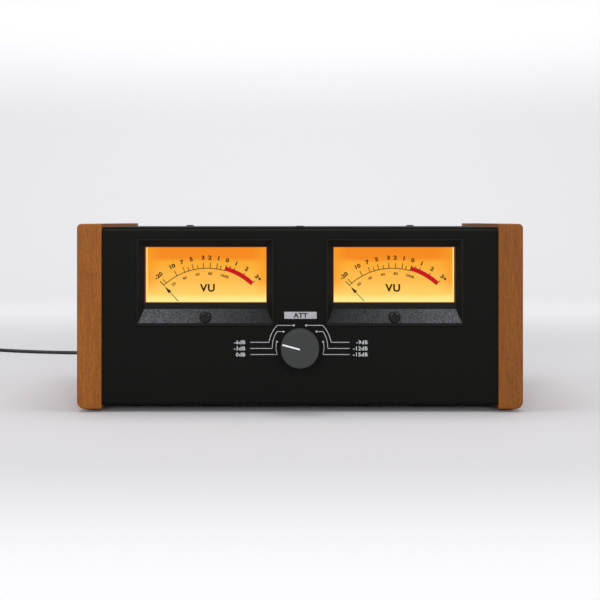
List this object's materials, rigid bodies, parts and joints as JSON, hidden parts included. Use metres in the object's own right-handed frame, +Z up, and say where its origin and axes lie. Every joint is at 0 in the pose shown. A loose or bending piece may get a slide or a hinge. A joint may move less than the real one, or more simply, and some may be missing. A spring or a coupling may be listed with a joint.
{
  "type": "vu meter",
  "caption": "Stereo VU meter console: two lit needle meters and a rotary attenuator knob in a black steel housing between wooden side panels, with a coiled power lead.",
  "frame": {"origin": "middle of the console's footprint, on the surface that its pads stand on", "axes": "+X to the viewer's right along the longest side, +Y from the front panel towards the rear, +Z up"},
  "size_m": [0.5098, 0.3494, 0.1224],
  "materials": {
    "oiled_wood": "satin",
    "pad_rubber": "matt",
    "black_steel": "fine texture black",
    "screw_steel": "bright",
    "frame_plastic": "moulded black",
    "clear_pane": "clear",
    "case_plastic": "black",
    "white_liner": "white",
    "board_laminate": "green laminate",
    "lamp_plastic": "tinted",
    "dial_face": "printed",
    "soft_iron": "plated",
    "magnet": "ground",
    "brass": "turned",
    "aluminium": "plain",
    "needle_paint": "dark paint",
    "screw_plastic": "moulded black",
    "knob_plastic": "matt dark grey",
    "capacitor_sleeve": "sleeved",
    "chip_plastic": "black",
    "gold_plate": "plated",
    "switch_plastic": "black",
    "lead_jacket": "black",
    "adapter_plastic": "black"
  },
  "bodies": {
    "console": {"wood_side_left": "oiled_wood", "front_frame_left": "frame_plastic", "window_left": "clear_pane", "meter_case_left": "case_plastic", "light_box_left": "white_liner", "lamp_board_left": "board_laminate", "dial_left": "dial_face", "yoke_ring_left": "soft_iron", "magnet_core_left": "magnet", "bridges_left": "aluminium", "hairspring_left": "brass", "wood_side_right": "oiled_wood", "front_frame_right": "frame_plastic", "window_right": "clear_pane", "meter_case_right": "case_plastic", "light_box_right": "white_liner", "lamp_board_right": "board_laminate", "dial_right": "dial_face", "yoke_ring_right": "soft_iron", "magnet_core_right": "magnet", "bridges_right": "aluminium", "hairspring_right": "brass", "foot_pads": "pad_rubber", "front_panel": "black_steel", "bottom_tray": "black_steel", "rear_panel": "black_steel", "top_cover": "black_steel", "cover_screws": "screw_steel", "side_screws": "screw_steel", "meter_nuts": "brass", "meter_terminals": "brass", "lamps": "lamp_plastic", "dial_screws": "screw_steel", "jewel_screws": "brass", "switch_body": "switch_plastic", "switch_nut": "screw_steel", "main_board": "board_laminate", "board_standoffs": "brass", "board_capacitors": "capacitor_sleeve", "board_parts": "chip_plastic", "phono_sockets": "gold_plate", "phono_nuts": "screw_steel", "power_jack": "switch_plastic", "rocker_frame": "switch_plastic", "power_plug": "lead_jacket", "power_cord": "lead_jacket", "cord_coil": "lead_jacket", "power_adapter": "adapter_plastic"},
    "pointer_left": {"needle_left": "needle_paint", "moving_coil_left": "aluminium"},
    "lever_left": {"zero_lever_left": "brass"},
    "adjuster_left": {"zero_screw_left": "screw_plastic"},
    "pointer_right": {"needle_right": "needle_paint", "moving_coil_right": "aluminium"},
    "lever_right": {"zero_lever_right": "brass"},
    "adjuster_right": {"zero_screw_right": "screw_plastic"},
    "attenuator": {"knob": "knob_plastic", "switch_shaft": "aluminium"},
    "power_switch": {"rocker": "switch_plastic"}
  },
  "joints": [
    {"name": "needle_left", "type": "hinge", "parent": "console", "child": "pointer_left", "pos_m": [-0.0616, -0.047, 0.0504], "axis": [0, 1, 0], "range_deg": [-1.5, 87], "stiffness_Nm_per_rad": 0.00002},
    {"name": "zero_screw_left", "type": "hinge", "parent": "console", "child": "adjuster_left", "pos_m": [-0.0616, -0.072, 0.0616], "axis": [0, 1, 0], "range_deg": [-40, 40]},
    {"name": "zero_lever_left", "type": "hinge", "parent": "console", "child": "lever_left", "pos_m": [-0.0616, -0.062, 0.0504], "axis": [0, 1, 0], "range_deg": [-4, 4]},
    {"name": "needle_right", "type": "hinge", "parent": "console", "child": "pointer_right", "pos_m": [0.0616, -0.047, 0.0504], "axis": [0, 1, 0], "range_deg": [-1.5, 87], "stiffness_Nm_per_rad": 0.00002},
    {"name": "zero_screw_right", "type": "hinge", "parent": "console", "child": "adjuster_right", "pos_m": [0.0616, -0.072, 0.0616], "axis": [0, 1, 0], "range_deg": [-40, 40]},
    {"name": "zero_lever_right", "type": "hinge", "parent": "console", "child": "lever_right", "pos_m": [0.0616, -0.062, 0.0504], "axis": [0, 1, 0], "range_deg": [-4, 4]},
    {"name": "attenuator_knob", "type": "hinge", "parent": "console", "child": "attenuator", "pos_m": [0, -0.072, 0.0423], "axis": [0, 1, 0], "range_deg": [0, 150]},
    {"name": "power_rocker", "type": "hinge", "parent": "console", "child": "power_switch", "pos_m": [0.1, 0.0743, 0.028], "axis": [0, 0, 1], "range_deg": [0, 20]}
  ],
  "couplings": [
    {"joint": "zero_lever_left", "follows": "zero_screw_left", "ratio": -0.091},
    {"joint": "zero_lever_right", "follows": "zero_screw_right", "ratio": -0.091}
  ]
}
